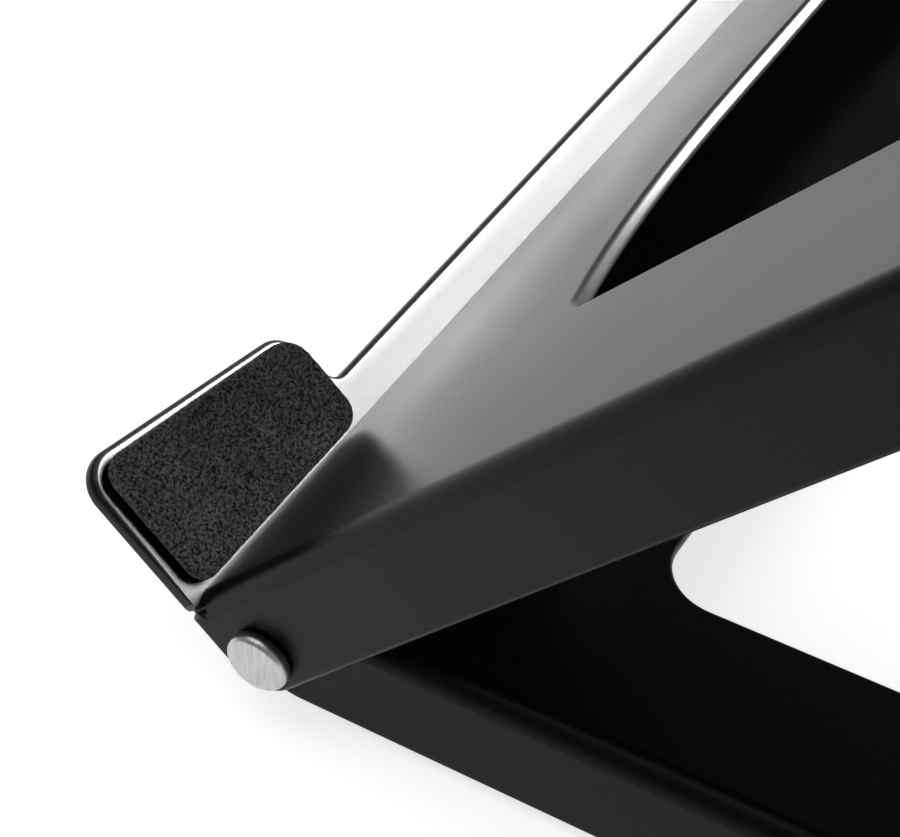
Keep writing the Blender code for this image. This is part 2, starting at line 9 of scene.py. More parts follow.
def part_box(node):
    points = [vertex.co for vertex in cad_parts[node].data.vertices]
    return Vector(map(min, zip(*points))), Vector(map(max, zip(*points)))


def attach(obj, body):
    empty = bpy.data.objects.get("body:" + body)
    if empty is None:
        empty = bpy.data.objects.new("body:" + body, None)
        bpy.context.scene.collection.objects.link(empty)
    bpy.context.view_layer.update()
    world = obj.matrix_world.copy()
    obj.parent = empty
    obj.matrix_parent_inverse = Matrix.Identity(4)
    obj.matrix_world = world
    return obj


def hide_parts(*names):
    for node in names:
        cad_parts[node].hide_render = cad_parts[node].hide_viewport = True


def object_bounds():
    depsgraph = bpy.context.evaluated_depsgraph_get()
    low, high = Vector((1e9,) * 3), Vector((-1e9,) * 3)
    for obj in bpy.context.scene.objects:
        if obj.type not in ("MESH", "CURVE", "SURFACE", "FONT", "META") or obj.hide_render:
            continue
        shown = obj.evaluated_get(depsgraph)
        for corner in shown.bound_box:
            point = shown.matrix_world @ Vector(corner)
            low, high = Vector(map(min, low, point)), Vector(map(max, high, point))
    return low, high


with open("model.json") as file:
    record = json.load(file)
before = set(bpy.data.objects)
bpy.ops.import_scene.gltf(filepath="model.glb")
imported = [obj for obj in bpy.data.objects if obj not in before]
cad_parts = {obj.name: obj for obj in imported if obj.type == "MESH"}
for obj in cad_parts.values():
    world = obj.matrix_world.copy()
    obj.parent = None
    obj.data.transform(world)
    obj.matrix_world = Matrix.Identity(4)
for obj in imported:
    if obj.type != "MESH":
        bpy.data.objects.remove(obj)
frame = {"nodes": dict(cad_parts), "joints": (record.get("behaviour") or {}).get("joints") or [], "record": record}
CAD_BOX = [list(corner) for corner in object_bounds()]

MM = 0.001

# Driving dimensions of the whole stand
WIDTH = 250 * MM                 # outside the tray's side flanges
SHEET = 2.2 * MM                 # powder-coated sheet
OPEN_ANGLE = radians(46.7)       # tray above base when set up
GAP = 0.3 * MM                   # between pieces that touch
BORE_CLEARANCE = 0.15 * MM

# Sheet bends and edges
BEND_OUTER = 2.8 * MM
BEND_INNER = BEND_OUTER - SHEET
CORNER_SLIT = 3.4 * MM           # side and back flanges stop short of each other by this
EDGE_ROUND = 0.75 * MM

# Tray, measured from the hinge axis: +y to the back, +z out of its top face
TRAY_TOP = 8.7 * MM
TRAY_FRONT = -6.2 * MM
TRAY_BACK = 244 * MM
TRAY_FLANGE_LOW = -5.0 * MM
TRAY_SIDE_BAR = 34.3 * MM
TRAY_FRONT_BAR_END = 23.3 * MM
TRAY_OPENING_BACK = 216 * MM
LIP_TOP = 13.9 * MM
TAB_TOP_OUTER = 27.9 * MM
TAB_TOP_INNER = 22.5 * MM
TAB_LENGTH = 33.3 * MM
NOTCH_AT = 7.35 * MM             # bend relief between each tab and its flange

# Base, measured from the hinge axis: +y to the back, +z up
BASE_INSET = 3.1 * MM            # its flanges run inside the tray's
BASE_TOP = 4.8 * MM
BASE_FLANGE_LOW = -9.3 * MM
BASE_PLATE_FRONT = -2.0 * MM
BASE_EAR_REACH = 4.8 * MM        # unbent ear round each hinge rivet
BASE_BEND_FRONT = 5.5 * MM
BASE_BACK = 236 * MM
BASE_SIDE_BAR = 26.4 * MM
BASE_FRONT_BAR_END = 32.3 * MM
BASE_OPENING_BACK = 214 * MM
TABLE = -10.5 * MM               # the feet stand a little proud of the flanges

# Front rivets
RIVET_RADIUS = 2.5 * MM
RIVET_HEAD_RADIUS = 3.75 * MM
RIVET_HEAD_HEIGHT = 1.6 * MM
RIVET_TAIL_RADIUS = 3.6 * MM

# Soft pieces and feet
PAD_STANDS = 2.0 * MM            # pad face above the tab it sticks to
GRIP_HEIGHT = 1.5 * MM
FOOT_RADIUS = 6 * MM
FOOT_X = WIDTH / 2 - 15 * MM
FOOT_PLACES = (22 * MM, 222 * MM)
ARC_STEP = radians(6)            # bends and corner rounds

SIDES = {"right": 1, "left": -1}

FLAT = Matrix.Identity(4)
SIDE_ON = Matrix(((0, 0, 1, 0), (1, 0, 0, 0), (0, 1, 0, 0), (0, 0, 0, 1)))
END_ON = Matrix(((1, 0, 0, 0), (0, 0, -1, 0), (0, 1, 0, 0), (0, 0, 0, 1)))

HINGE = Vector(next(j for j in frame["joints"] if j["name"] == "tray_hinge")["pos_m"])
BASE_FRAME = Matrix.Translation(HINGE)
TRAY_FRAME = BASE_FRAME @ Matrix.Rotation(OPEN_ANGLE, 4, "X")
SCENE = bpy.context.scene.collection


def rounded(corners):
    """Outline through (u, v, radius) corners, each corner with a radius turned into an arc."""
    points = []
    for i, (u, v, radius) in enumerate(corners):
        here = Vector((u, v))
        if radius == 0:
            points.append(here)
            continue
        before = (Vector(corners[i - 1][:2]) - here).normalized()
        after = (Vector(corners[(i + 1) % len(corners)][:2]) - here).normalized()
        opening = before.angle(after)
        centre = here + (before + after).normalized() * radius / sin(opening / 2)
        start = here + before * radius / tan(opening / 2) - centre
        turn = pi - opening
        if before.x * after.y - before.y * after.x > 0:
            turn = -turn
        steps = max(2, round(abs(turn) / ARC_STEP))
        for k in range(steps + 1):
            points.append(centre + Matrix.Rotation(turn * k / steps, 2) @ start)
    return points


def mirrored(corners):
    """Closes a right-hand half outline with its mirror image across u = 0."""
    return corners + [(-u, v, radius) for u, v, radius in reversed(corners)]


def circle(u, v, radius, steps=24):
    return [Vector((u + radius * cos(2 * pi * k / steps), v + radius * sin(2 * pi * k / steps)))
            for k in range(steps)]


def weld(mesh):
    shape = bmesh.new()
    shape.from_mesh(mesh)
    bmesh.ops.remove_doubles(shape, verts=shape.verts, dist=1e-6)
    for vert in shape.verts:
        vert.co = [round(c, 7) for c in vert.co]
    bmesh.ops.recalc_face_normals(shape, faces=shape.faces)
    shape.to_mesh(mesh)
    shape.free()


def slab(name, outlines, low, high, plane=FLAT):
    """Flat outline, with any further outlines as holes, made solid from low to high."""
    curve = bpy.data.curves.new(name, "CURVE")
    curve.dimensions = "2D"
    curve.fill_mode = "BOTH"
    curve.extrude = (high - low) / 2
    for outline in outlines:
        spline = curve.splines.new("POLY")
        spline.points.add(len(outline) - 1)
        for point, (u, v) in zip(spline.points, outline):
            point.co = (u, v, 0, 1)
        spline.use_cyclic_u = True
    guide = bpy.data.objects.new(name + "_outline", curve)
    SCENE.objects.link(guide)
    evaluated = guide.evaluated_get(bpy.context.evaluated_depsgraph_get())
    mesh = bpy.data.meshes.new_from_object(evaluated)
    mesh.transform(plane @ Matrix.Translation((0, 0, (low + high) / 2)))
    bpy.data.objects.remove(guide, do_unlink=True)
    bpy.data.curves.remove(curve)
    weld(mesh)
    mesh.name = name
    obj = bpy.data.objects.new(name, mesh)
    SCENE.objects.link(obj)
    return obj


def box(name, low, high):
    mesh = bpy.data.meshes.new(name)
    shape = bmesh.new()
    bmesh.ops.create_cube(shape, size=1)
    size = Vector(high) - Vector(low)
    bmesh.ops.transform(shape, matrix=Matrix.Translation((Vector(low) + Vector(high)) / 2)
                        @ Matrix.Diagonal((*size, 1)), verts=shape.verts)
    shape.to_mesh(mesh)
    shape.free()
    obj = bpy.data.objects.new(name, mesh)
    SCENE.objects.link(obj)
    return obj


def turned(name, profile, steps=64):
    """Solid of revolution about X, from (distance along X, radius) points that start and end on it."""
    mesh = bpy.data.meshes.new(name)
    edges = [(i, i + 1) for i in range(len(profile) - 1)]
    mesh.from_pydata([(distance, 0, radius) for distance, radius in profile], edges, [])
    outline = bpy.data.objects.new(name, mesh)
    SCENE.objects.link(outline)
    screw = outline.modifiers.new("turn", "SCREW")
    screw.axis = "X"
    screw.steps = steps
    screw.render_steps = steps
    screw.use_merge_vertices = True
    screw.merge_threshold = 1e-6
    evaluated = outline.evaluated_get(bpy.context.evaluated_depsgraph_get())
    solid = bpy.data.meshes.new_from_object(evaluated)
    outline.modifiers.clear()
    outline.data = solid
    weld(solid)
    return outline


def apply_steps(obj):
    """Turns the piece's modifiers into its mesh."""
    evaluated = obj.evaluated_get(bpy.context.evaluated_depsgraph_get())
    shaped = bpy.data.meshes.new_from_object(evaluated)
    obj.modifiers.clear()
    obj.data = shaped


def merge_flat_faces(mesh):
    shape = bmesh.new()
    shape.from_mesh(mesh)
    bmesh.ops.remove_doubles(shape, verts=shape.verts, dist=0.005 * MM)
    bmesh.ops.dissolve_limit(shape, angle_limit=radians(0.3), verts=shape.verts, edges=shape.edges)
    bmesh.ops.dissolve_degenerate(shape, edges=shape.edges, dist=0.005 * MM)
    shape.to_mesh(mesh)
    shape.free()


def combine(obj, other, operation):
    """Joins, cuts or trims obj by another shape, which is used up."""
    step = obj.modifiers.new(operation.lower(), "BOOLEAN")
    step.operation = operation
    # The exact solver leaves open seams where bends run into flush faces.
    step.solver = "MANIFOLD"
    step.object = other
    apply_steps(obj)
    merge_flat_faces(obj.data)
    bpy.data.objects.remove(other, do_unlink=True)


def round_edges(obj, width=EDGE_ROUND, segments=4, leave=()):
    """Rounds every edge sharper than 50 degrees, except those inside a (low, high) box in `leave`."""
    shape = bmesh.new()
    shape.from_mesh(obj.data)
    sharp = []
    for edge in shape.edges:
        left = any(all(inside(vert.co, *zone) for vert in edge.verts) for zone in leave)
        if edge.calc_face_angle() > radians(50) and not left:
            sharp.append(edge)
    bmesh.ops.bevel(shape, geom=sharp, offset=width, offset_type="OFFSET", segments=segments,
                    profile=0.5, affect="EDGES", clamp_overlap=False)
    bmesh.ops.remove_doubles(shape, verts=shape.verts, dist=0.01 * MM)
    shape.to_mesh(obj.data)
    shape.free()


def inside(point, low, high):
    """True where a point, on either side of the middle plane, lies in the right-hand box."""
    point = (abs(point.x), point.y, point.z)
    return all(a <= value <= b for a, value, b in zip(low, point, high))


def back_flange(name, top, flange_low, back, half_width):
    """Strip along the back of a plate, bent down at `back`."""
    run_in = back - 12 * MM
    outline = rounded([
        (run_in, top, 0), (back, top, BEND_OUTER), (back, flange_low, 0),
        (back - SHEET, flange_low, 0), (back - SHEET, top - SHEET, BEND_INNER),
        (run_in, top - SHEET, 0)])
    return slab(name, [outline], -half_width, half_width, SIDE_ON)


def channel(name, half_width, top, flange_low, front, back):
    """Plate with both side edges bent down, running from front to back."""
    inner = half_width - SHEET
    outline = rounded([
        (half_width, flange_low, 0), (half_width, top, BEND_OUTER),
        (-half_width, top, BEND_OUTER), (-half_width, flange_low, 0),
        (-inner, flange_low, 0), (-inner, top - SHEET, BEND_INNER),
        (inner, top - SHEET, BEND_INNER), (inner, flange_low, 0)])
    return slab(name, [outline], -back, -front, END_ON)


def rivet_hole(x):
    """Cutter for the rivet's hole in a flange at x."""
    outline = circle(0, 0, RIVET_RADIUS + BORE_CLEARANCE)
    return slab("rivet_hole", [outline], x - 6 * MM, x + 6 * MM, SIDE_ON)


def tray_opening():
    """Opening whose front edge sweeps up at both ends before small corner rounds."""
    half = WIDTH / 2 - TRAY_SIDE_BAR
    sweep_radius = 143 * MM
    sweep_start = 36 * MM
    corner_run = 3.2 * MM
    steps = 8
    sweep = []
    for k in range(steps + 1):
        x = sweep_start + (half - corner_run - sweep_start) * k / steps
        rise = sweep_radius - (sweep_radius ** 2 - (x - sweep_start) ** 2) ** 0.5
        sweep.append((x, TRAY_FRONT_BAR_END + rise, 0))
    last = sweep[-1]
    corner = [(half, last[1] + 2.6 * MM, 2.4 * MM), (half, TRAY_OPENING_BACK, 12 * MM)]
    outline = rounded(mirrored(sweep + corner))
    return slab("tray_opening", [outline], TRAY_TOP - 4 * MM, TRAY_TOP + 4 * MM)


def across(side, inset):
    """World x of a point `inset` in from the outside of the tray's side flange."""
    return side * (WIDTH / 2 - inset)


def build_tray():
    half = WIDTH / 2
    flat_half = half - BEND_OUTER
    tray = channel("tray_sheet", half, TRAY_TOP, TRAY_FLANGE_LOW,
                   TRAY_FRONT - 3 * MM, TRAY_BACK - CORNER_SLIT)
    sides = rounded([
        (TRAY_FRONT, TRAY_TOP + 5 * MM, 0), (TRAY_FRONT, TRAY_FLANGE_LOW, 4.8 * MM),
        (TRAY_BACK, TRAY_FLANGE_LOW, 0), (TRAY_BACK, TRAY_TOP + 5 * MM, 0)])
    side_shape = slab("tray_side_shape", [sides], -half - MM, half + MM, SIDE_ON)
    combine(tray, side_shape, "INTERSECT")
    upright = rounded(mirrored([
        (half - SHEET, TRAY_TOP - SHEET, 0), (half - SHEET, TRAY_TOP - BEND_OUTER, 0),
        (half, TRAY_TOP - BEND_OUTER, 0), (half, TAB_TOP_OUTER, 4 * MM),
        (half - TAB_LENGTH, TAB_TOP_INNER, 4 * MM),
        (half - TAB_LENGTH - 1.6 * MM, LIP_TOP, 2 * MM)]))
    lip = slab("lip_and_tabs", [upright], -TRAY_FRONT - SHEET, -TRAY_FRONT, END_ON)
    combine(tray, lip, "UNION")
    flange = back_flange("tray_back_flange", TRAY_TOP, TRAY_FLANGE_LOW, TRAY_BACK, half - CORNER_SLIT)
    combine(tray, flange, "UNION")
    combine(tray, tray_opening(), "DIFFERENCE")
    tab_root = ((flat_half - MM, TRAY_FRONT + SHEET - 0.1 * MM, TRAY_TOP - BEND_OUTER - 0.1 * MM),
                (half + MM, TRAY_FRONT + SHEET + 0.1 * MM, TRAY_TOP + 0.1 * MM))
    round_edges(tray, leave=[tab_root])
    under_lip = rounded([
        (TRAY_FRONT - MM, TRAY_TOP - 4 * MM, 0), (TRAY_FRONT - MM, TRAY_TOP + BEND_INNER, 0),
        (TRAY_FRONT, TRAY_TOP + BEND_INNER, 0), (TRAY_FRONT, TRAY_TOP - SHEET, BEND_OUTER),
        (TRAY_FRONT + BEND_OUTER, TRAY_TOP - SHEET, 0),
        (TRAY_FRONT + BEND_OUTER, TRAY_TOP - 4 * MM, 0)])
    corner = slab("under_lip", [under_lip], -flat_half, flat_half, SIDE_ON)
    combine(tray, corner, "DIFFERENCE")
    for side in SIDES.values():
        face = side * (half - 0.1 * MM)
        root = side * (half - MM)
        notch = rounded([
            (side * (half + MM), NOTCH_AT - 0.8 * MM, 0), (face, NOTCH_AT - 0.45 * MM, 0),
            (root, NOTCH_AT - 0.15 * MM, 0.1 * MM), (root, NOTCH_AT + 0.15 * MM, 0.1 * MM),
            (side * (half - 0.5 * MM), NOTCH_AT + 0.5 * MM, 0), (face, NOTCH_AT + 1.2 * MM, 0),
            (side * (half + MM), NOTCH_AT + 1.8 * MM, 0)])
        relief = slab("bend_relief", [notch], 3.2 * MM, 7.2 * MM, END_ON)
        combine(tray, relief, "DIFFERENCE")
        combine(tray, rivet_hole(side * half), "DIFFERENCE")
    return tray


def build_base():
    half = WIDTH / 2 - BASE_INSET
    base = channel("base_sheet", half, BASE_TOP, BASE_FLANGE_LOW,
                   BASE_BEND_FRONT, BASE_BACK - CORNER_SLIT)
    bar_half = half - SHEET - 5 * MM
    front_bar = box("base_front_bar", (-bar_half, BASE_PLATE_FRONT, BASE_TOP - SHEET),
                    (bar_half, BASE_BEND_FRONT + 8 * MM, BASE_TOP))
    combine(base, front_bar, "UNION")
    flange = back_flange("base_back_flange", BASE_TOP, BASE_FLANGE_LOW, BASE_BACK, half - CORNER_SLIT)
    combine(base, flange, "UNION")
    inner = WIDTH / 2 - BASE_SIDE_BAR
    outline = rounded(mirrored([
        (inner, BASE_FRONT_BAR_END, 7.5 * MM), (inner, BASE_OPENING_BACK, 7.5 * MM)]))
    opening = slab("base_opening", [outline], BASE_TOP - 5 * MM, BASE_TOP + 4 * MM)
    combine(base, opening, "DIFFERENCE")
    flat_top = BASE_TOP - BEND_OUTER
    ear = rounded([
        (-BASE_EAR_REACH, BASE_EAR_REACH, 4.6 * MM), (BASE_BEND_FRONT, BASE_EAR_REACH, 0),
        (BASE_BEND_FRONT, flat_top, 0), (BASE_BEND_FRONT + 2 * MM, flat_top, 0),
        (BASE_BEND_FRONT + 2 * MM, BASE_FLANGE_LOW, 0), (-BASE_EAR_REACH, BASE_FLANGE_LOW, 7 * MM)])
    for side in SIDES.values():
        low_x, high_x = sorted((side * (half - SHEET), side * half))
        combine(base, slab("hinge_ear", [ear], low_x, high_x, SIDE_ON), "UNION")
    ear_root = ((half - BEND_OUTER - MM, BASE_BEND_FRONT - 0.1 * MM, flat_top - 0.1 * MM),
                (half + MM, BASE_BEND_FRONT + 0.1 * MM, BASE_TOP + 0.1 * MM))
    round_edges(base, leave=[ear_root])
    for side in SIDES.values():
        low_x, high_x = sorted((side * (half - BEND_OUTER - MM), side * (half + MM)))
        slit = box("ear_slit", (low_x, BASE_EAR_REACH, flat_top),
                   (high_x, BASE_BEND_FRONT + 0.9 * MM, BASE_TOP + 2 * MM))
        combine(base, slit, "DIFFERENCE")
        combine(base, rivet_hole(side * half), "DIFFERENCE")
    return base


def place(obj, matrix, body, material, replaces, smooth_angle=40):
    """Puts a finished piece on its body, with its finish, in place of the CAD nodes it stands for."""
    obj.data.transform(matrix)
    obj.data.materials.clear()
    obj.data.materials.append(material)
    obj.data.shade_smooth()
    obj.data.set_sharp_from_angle(angle=radians(smooth_angle))
    even = obj.modifiers.new("even shading", "WEIGHTED_NORMAL")
    even.keep_sharp = True
    even.weight = 100
    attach(obj, body)
    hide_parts(*replaces)


# ---------------------------------------------------------------- materials

def new_material(name, color, roughness, metallic=0.0, **sockets):
    material = bpy.data.materials.new(name)
    material.use_nodes = True
    shader = material.node_tree.nodes["Principled BSDF"]
    shader.inputs["Base Color"].default_value = (*color, 1)
    shader.inputs["Roughness"].default_value = roughness
    shader.inputs["Metallic"].default_value = metallic
    for socket, value in sockets.items():
        shader.inputs[socket].default_value = value
    return material


def add_node(material, kind, **settings):
    node = material.node_tree.nodes.new(kind)
    for name, value in settings.items():
        if name in node.inputs:
            node.inputs[name].default_value = value
        else:
            setattr(node, name, value)
    return node


def link(material, source, output, target, socket):
    material.node_tree.links.new(source.outputs[output], target.inputs[socket])


def shader_of(material):
    return material.node_tree.nodes["Principled BSDF"]


def noise_texture(material, coordinates, scale, detail=2.0, roughness=0.5):
    texture = add_node(material, "ShaderNodeTexNoise")
    texture.inputs["Scale"].default_value = scale
    texture.inputs["Detail"].default_value = detail
    texture.inputs["Roughness"].default_value = roughness
    link(material, coordinates, "Object", texture, "Vector")
    return texture


def ramp(material, source, output, low, high, dark, light):
    node = add_node(material, "ShaderNodeValToRGB")
    node.color_ramp.elements[0].position = low
    node.color_ramp.elements[1].position = high
    node.color_ramp.elements[0].color = (*dark, 1)
    node.color_ramp.elements[1].color = (*light, 1)
    link(material, source, output, node, "Fac")
    return node


def spread(material, source, low, high):
    node = add_node(material, "ShaderNodeMapRange")
    node.inputs["From Min"].default_value = 0.3
    node.inputs["From Max"].default_value = 0.7
    node.inputs["To Min"].default_value = low
    node.inputs["To Max"].default_value = high
    link(material, source, "Fac", node, "Value")
    return node


def bump(material, source, output, distance, strength=1.0, after=None):
    node = add_node(material, "ShaderNodeBump")
    node.inputs["Distance"].default_value = distance
    node.inputs["Strength"].default_value = strength
    link(material, source, output, node, "Height")
    if after:
        link(material, after, "Normal", node, "Normal")
    link(material, node, "Normal", shader_of(material), "Normal")
    return node


def powder_coat_material():
    """Satin black powder coat: a fine orange-peel skin over a slow drift in gloss."""
    material = new_material("black_powder_coat", (0.002, 0.002, 0.002), 0.28, IOR=1.225)
    shader = shader_of(material)
    here = add_node(material, "ShaderNodeTexCoord")
    grain = noise_texture(material, here, 1500, 3.0, 0.55)
    peel = noise_texture(material, here, 420, 2.0)
    drift = noise_texture(material, here, 22, 3.0)
    link(material, spread(material, drift, 0.27, 0.33), "Result", shader, "Roughness")
    tone = ramp(material, grain, "Fac", 0.35, 0.68, (0.0014, 0.0014, 0.0015), (0.0028, 0.0028, 0.0029))
    link(material, tone, "Color", shader, "Base Color")
    skin = bump(material, peel, "Fac", 0.00004, 0.25)
    bump(material, grain, "Fac", 0.00002, 0.35, after=skin)
    return material


def foam_material():
    """Fine-celled black foam: small open cells, slightly lighter walls, a dusty sheen."""
    material = new_material("black_foam", (0.03, 0.03, 0.03), 0.95)
    shader = shader_of(material)
    shader.inputs["Sheen Weight"].default_value = 0.1
    shader.inputs["Sheen Roughness"].default_value = 0.5
    shader.inputs["Specular IOR Level"].default_value = 0.12
    here = add_node(material, "ShaderNodeTexCoord")
    cells = add_node(material, "ShaderNodeTexVoronoi")
    cells.inputs["Scale"].default_value = 3200
    link(material, here, "Object", cells, "Vector")
    grain = noise_texture(material, here, 2600, 3.0, 0.7)
    patch = noise_texture(material, here, 160, 2.0)
    fine = ramp(material, grain, "Fac", 0.40, 0.62, (0.002, 0.002, 0.002), (0.150, 0.150, 0.151))
    broad = ramp(material, patch, "Fac", 0.3, 0.75, (0.55, 0.55, 0.55), (1.0, 1.0, 1.0))
    mix = add_node(material, "ShaderNodeMix", data_type="RGBA", blend_type="MULTIPLY")
    mix.inputs["Factor"].default_value = 1.0
    link(material, fine, "Color", mix, 6)
    link(material, broad, "Color", mix, 7)
    material.node_tree.links.new(mix.outputs[2], shader.inputs["Base Color"])
    pits = bump(material, cells, "Distance", 0.00012, 0.6)
    bump(material, grain, "Fac", 0.00012, 0.8, after=pits)
    return material


def steel_material():
    """Zinc-plated steel, lightly tumbled: soft scratches and cloudy gloss."""
    material = new_material("polished_steel", (0.72, 0.72, 0.73), 0.3, 1.0)
    shader = shader_of(material)
    here = add_node(material, "ShaderNodeTexCoord")
    stretch = add_node(material, "ShaderNodeMapping")
    stretch.inputs["Scale"].default_value = (0.2, 1.0, 0.12)
    stretch.inputs["Rotation"].default_value = (0.6, 0.0, 0.0)
    link(material, here, "Object", stretch, "Vector")
    scratches = add_node(material, "ShaderNodeTexNoise")
    scratches.inputs["Scale"].default_value = 2400
    scratches.inputs["Detail"].default_value = 3.0
    link(material, stretch, "Vector", scratches, "Vector")
    cloud = noise_texture(material, here, 300, 3.0)
    link(material, spread(material, cloud, 0.24, 0.36), "Result", shader, "Roughness")
    tone = ramp(material, scratches, "Fac", 0.3, 0.7, (0.42, 0.42, 0.42), (0.54, 0.54, 0.54))
    link(material, tone, "Color", shader, "Base Color")
    bump(material, scratches, "Fac", 0.00002, 0.15)
    return material


def rubber_material():
    material = new_material("black_rubber", (0.016, 0.016, 0.016), 0.72)
    shader = shader_of(material)
    here = add_node(material, "ShaderNodeTexCoord")
    grain = noise_texture(material, here, 1200, 4.0, 0.6)
    bloom = noise_texture(material, here, 90, 3.0)
    link(material, spread(material, bloom, 0.62, 0.8), "Result", shader, "Roughness")
    tone = ramp(material, bloom, "Fac", 0.3, 0.75, (0.012, 0.012, 0.012), (0.024, 0.024, 0.025))
    link(material, tone, "Color", shader, "Base Color")
    bump(material, grain, "Fac", 0.00006, 0.5)
    return material


def nylon_material():
    material = new_material("natural_nylon", (0.72, 0.7, 0.64), 0.42)
    shader = shader_of(material)
    shader.inputs["Subsurface Weight"].default_value = 0.15
    shader.inputs["Subsurface Radius"].default_value = (0.002, 0.0015, 0.001)
    here = add_node(material, "ShaderNodeTexCoord")
    flow = noise_texture(material, here, 140, 3.0)
    grain = noise_texture(material, here, 1600, 2.0)
    tone = ramp(material, flow, "Fac", 0.3, 0.7, (0.66, 0.635, 0.57), (0.76, 0.745, 0.69))
    link(material, tone, "Color", shader, "Base Color")
    link(material, spread(material, flow, 0.36, 0.48), "Result", shader, "Roughness")
    bump(material, grain, "Fac", 0.00003, 0.3)
    return material


# ---------------------------------------------------------------- pieces made finer than the CAD solids

def rivet_profile(side):
    """Low head with a flat face and a soft shoulder, shank, and a pressed tail."""
    head_top = -GAP - RIVET_HEAD_HEIGHT
    shoulder = 0.8 * MM
    flat = RIVET_HEAD_RADIUS - shoulder
    points = [(head_top + 0.04 * MM, 0), (head_top + 0.02 * MM, 0.5 * flat), (head_top, flat)]
    for k in range(1, 9):
        turn = pi / 2 * k / 8
        points.append((head_top + shoulder * (1 - cos(turn)), flat + shoulder * sin(turn)))
    tail = BASE_INSET + SHEET + GAP
    points += [(-GAP - 0.15 * MM, RIVET_HEAD_RADIUS), (-GAP, RIVET_HEAD_RADIUS - 0.12 * MM),
               (-GAP, RIVET_RADIUS), (tail, RIVET_RADIUS), (tail, RIVET_TAIL_RADIUS),
               (tail + 0.7 * MM, RIVET_TAIL_RADIUS), (tail + 1.0 * MM, 0.85 * RIVET_TAIL_RADIUS),
               (tail + 1.1 * MM, 0.6 * RIVET_TAIL_RADIUS), (tail + 1.1 * MM, 0)]
    return [(across(side, inset), radius) for inset, radius in points]


def foam_pad(name, side):
    """Die-cut pad: soft rounded rim, slightly crowned face, and cells in its surface."""
    face = TRAY_FRONT + SHEET
    outline = rounded([
        (across(side, 1.7 * MM), 9.2 * MM, 2.4 * MM), (across(side, 1.7 * MM), 26.6 * MM, 2.7 * MM),
        (across(side, 33.2 * MM), 21.8 * MM, 3.9 * MM), (across(side, 33.2 * MM), 9.2 * MM, 2.8 * MM)])
    pad = slab(name, [outline], -face - PAD_STANDS + 0.12 * MM, -face - 0.25 * MM, END_ON)
    round_edges(pad, 0.7 * MM, 5)
    remesh = pad.modifiers.new("even grid", "REMESH")
    remesh.mode = "VOXEL"
    remesh.voxel_size = 0.22 * MM
    apply_steps(pad)
    centre = Vector((across(side, 16.7 * MM), 0, 17.2 * MM))
    shape = bmesh.new()
    shape.from_mesh(pad.data)
    shape.normal_update()
    moved = []
    for vert in shape.verts:
        out = vert.normal
        cell = noise.noise(vert.co * 2300) * 0.06 * MM + noise.noise(vert.co * 900) * 0.035 * MM
        across_pad = (vert.co.x - centre.x) / (15 * MM)
        up_pad = (vert.co.z - centre.z) / (8.6 * MM)
        crown = max(0.0, 1 - across_pad ** 2 - up_pad ** 2) * 0.06 * MM if out.y > 0.5 else 0.0
        front = 0.25 if out.y < -0.5 else 1.0
        moved.append(vert.co + out * cell * front + Vector((0, crown, 0)))
    for vert, place_at in zip(shape.verts, moved):
        vert.co = place_at
    shape.to_mesh(pad.data)
    shape.free()
    return pad


def grip_strip(name, side):
    """Moulded rubber strip: soft rounded rim round a flat top with shallow cross grooves."""
    ends = (across(side, 24 * MM), across(side, 84 * MM))
    outline = rounded([
        (ends[0], 222 * MM, 5 * MM), (ends[0], 234 * MM, 5 * MM),
        (ends[1], 234 * MM, 5 * MM), (ends[1], 222 * MM, 5 * MM)])
    strip = slab(name, [outline], TRAY_TOP + 0.2 * MM, TRAY_TOP + GRIP_HEIGHT)
    round_edges(strip, 0.5 * MM, 4)
    for k in range(13):
        x = across(side, (31.5 + 3.75 * k) * MM)
        groove = rounded([
            (x - 0.6 * MM, 225 * MM, 0.58 * MM), (x + 0.6 * MM, 225 * MM, 0.58 * MM),
            (x + 0.6 * MM, 231 * MM, 0.58 * MM), (x - 0.6 * MM, 231 * MM, 0.58 * MM)])
        cutter = slab("groove", [groove], TRAY_TOP + GRIP_HEIGHT - 0.35 * MM, TRAY_TOP + 3 * MM)
        combine(strip, cutter, "DIFFERENCE")
    return strip


def rubber_foot(name, side, y):
    """Turned rubber bumper: a rounded tread with a shallow dish, and a slight waist under the plate."""
    top = BASE_TOP - SHEET - GAP
    profile = [(TABLE + 0.3 * MM, 0), (TABLE + 0.25 * MM, 2.2 * MM), (TABLE, 3.0 * MM),
               (TABLE, FOOT_RADIUS - 1.5 * MM)]
    for k in range(1, 9):
        turn = pi / 2 * k / 8
        profile.append((TABLE + 1.3 * MM * (1 - cos(turn)), FOOT_RADIUS + (sin(turn) - 1) * 1.5 * MM))
    profile += [(TABLE + 5 * MM, FOOT_RADIUS), (TABLE + 6.5 * MM, FOOT_RADIUS - 0.15 * MM),
                (TABLE + 8 * MM, FOOT_RADIUS - 0.2 * MM), (top - 1.6 * MM, FOOT_RADIUS - 0.15 * MM),
                (top - 1.0 * MM, FOOT_RADIUS), (top - 0.15 * MM, FOOT_RADIUS),
                (top, FOOT_RADIUS - 0.15 * MM), (top, 0)]
    foot = turned(name, profile)
    foot.data.transform(Matrix.Translation((side * FOOT_X, y, 0)) @ Matrix.Rotation(-pi / 2, 4, "Y"))
    return foot


# ---------------------------------------------------------------- the model

COAT = powder_coat_material()
# Painted shade: the same powder coat as the tray, with its specular level lowered to 0.36 so the base reads
# darker. It is not a different finish.
BASE_COAT_PAINTED_SHADE = powder_coat_material()
BASE_COAT_PAINTED_SHADE.name = "black_powder_coat_base_painted_shade"
shader_of(BASE_COAT_PAINTED_SHADE).inputs["Specular IOR Level"].default_value = 0.36
STEEL = steel_material()
FOAM = foam_material()
RUBBER = rubber_material()
NYLON = nylon_material()
LOOKS = {"black_powder_coat": COAT, "polished_steel": STEEL, "black_foam": FOAM,
         "black_rubber": RUBBER, "natural_nylon": NYLON}

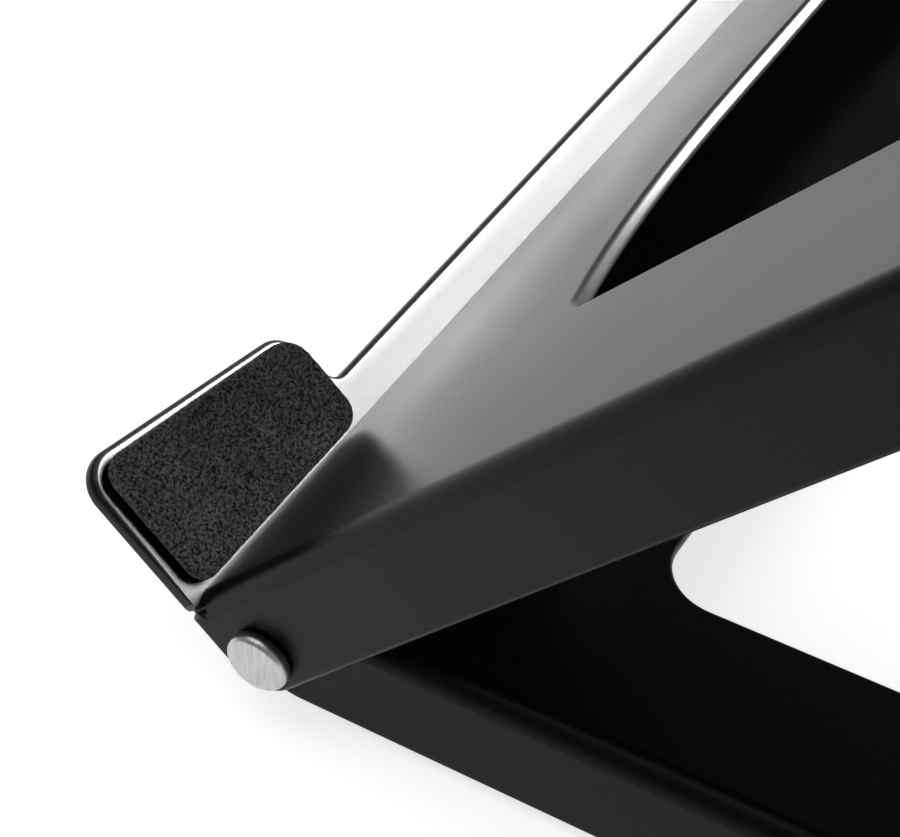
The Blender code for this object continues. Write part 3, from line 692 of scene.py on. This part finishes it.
for entry in frame["record"]["subparts"]:
    node = frame["nodes"][entry["node"]]
    node.data.materials.clear()
    node.data.materials.append(LOOKS[entry["material_slot"]])

TRAY = build_tray()
place(TRAY, TRAY_FRAME, "tray", COAT, ["tray_frame"])
place(build_base(), BASE_FRAME, "base", BASE_COAT_PAINTED_SHADE, ["base_frame"])
for name, side in SIDES.items():
    pad = foam_pad("foam_pad_" + name, side)
    place(pad, TRAY_FRAME, "tray", FOAM, ["lip_pad_" + name], 180)
    rivet = turned("rivet_" + name, rivet_profile(side))
    place(rivet, BASE_FRAME, "base", STEEL, ["hinge_rivet_" + name])
    strip = grip_strip("ribbed_strip_" + name, side)
    place(strip, TRAY_FRAME, "tray", RUBBER, ["grip_strip_" + name], 60)
    for end, y in zip(("front", "back"), FOOT_PLACES):
        foot = rubber_foot(f"bumper_{end}_{name}", side, y)
        place(foot, BASE_FRAME, "base", RUBBER, [f"rubber_foot_{end}_{name}"])


# ---------------------------------------------------------------- floor, light and camera

def area_light(name, toward, distance, size, power, aim=Vector((0.06, -0.06, 0.04))):
    """Softbox in direction `toward` from the stand's front corner, facing it."""
    lamp = bpy.data.lights.new(name, "AREA")
    lamp.shape = "RECTANGLE"
    lamp.size, lamp.size_y = size
    lamp.energy = power
    obj = bpy.data.objects.new(name, lamp)
    direction = Vector(toward).normalized()
    obj.location = aim + direction * distance
    obj.rotation_euler = direction.to_track_quat("Z", "Y").to_euler()
    SCENE.objects.link(obj)
    return obj


floor_mesh = bpy.data.meshes.new("floor")
shape = bmesh.new()
bmesh.ops.create_grid(shape, x_segments=4, y_segments=4, size=30.0)
shape.to_mesh(floor_mesh)
shape.free()
floor = bpy.data.objects.new("floor", floor_mesh)
SCENE.objects.link(floor)
floor.location.z = CAD_BOX[0][2] - 0.0002
floor_paint = new_material("floor_paint", (0.9, 0.9, 0.9), 0.9)
floor_here = add_node(floor_paint, "ShaderNodeTexCoord")
floor_grain = noise_texture(floor_paint, floor_here, 60, 2.0)
floor_tone = ramp(floor_paint, floor_grain, "Fac", 0.3, 0.7,
                  (0.895, 0.895, 0.895), (0.905, 0.905, 0.905))
link(floor_paint, floor_tone, "Color", shader_of(floor_paint), "Base Color")
shader_of(floor_paint).inputs["Specular IOR Level"].default_value = 0.1
shader_of(floor_paint).inputs["Emission Color"].default_value = (1, 1, 1, 1)
shader_of(floor_paint).inputs["Emission Strength"].default_value = 0.7   # a lit white table
floor.data.materials.append(floor_paint)

world = bpy.data.worlds.new("studio")
bpy.context.scene.world = world
world.use_nodes = True
world.node_tree.nodes["Background"].inputs["Color"].default_value = (1, 1, 1, 1)
world.node_tree.nodes["Background"].inputs["Strength"].default_value = 0.3

area_light("overhead softbox", (0.1, -0.35, 1.0), 1.5, (1.4, 1.4), 6)
rear = area_light("rear softbox", (-0.69, 0.47, 0.55), 1.1, (0.5, 0.7), 390)
lit_by_rear = bpy.data.collections.new("lit by the rear softbox")
lit_by_rear.objects.link(TRAY)
rear.light_linking.receiver_collection = lit_by_rear

bpy.context.scene.view_settings.view_transform = "Standard"

camera_data = bpy.data.cameras.new("camera")
camera_data.lens = 100
camera_data.sensor_width = 36
camera_data.clip_start = 0.01
camera = bpy.data.objects.new("camera", camera_data)
RIGHT = Vector((-0.51293, 0.85843, -0.0003))
UP = Vector((-0.58605, -0.34995, 0.73081))
BACKWARD = Vector((0.62726, 0.375, 0.68258))
rivet_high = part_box("hinge_rivet_right")[1]
rivet_face = Vector((rivet_high.x, HINGE.y, HINGE.z))
eye = rivet_face + Vector((0.1410, 0.1082, 0.2008)) + 0.43 * MM * RIGHT + 0.21 * MM * UP
facing = Matrix((RIGHT, UP, BACKWARD)).transposed().to_4x4()
camera.matrix_world = Matrix.Translation(eye) @ facing
SCENE.objects.link(camera)
bpy.context.scene.camera = camera
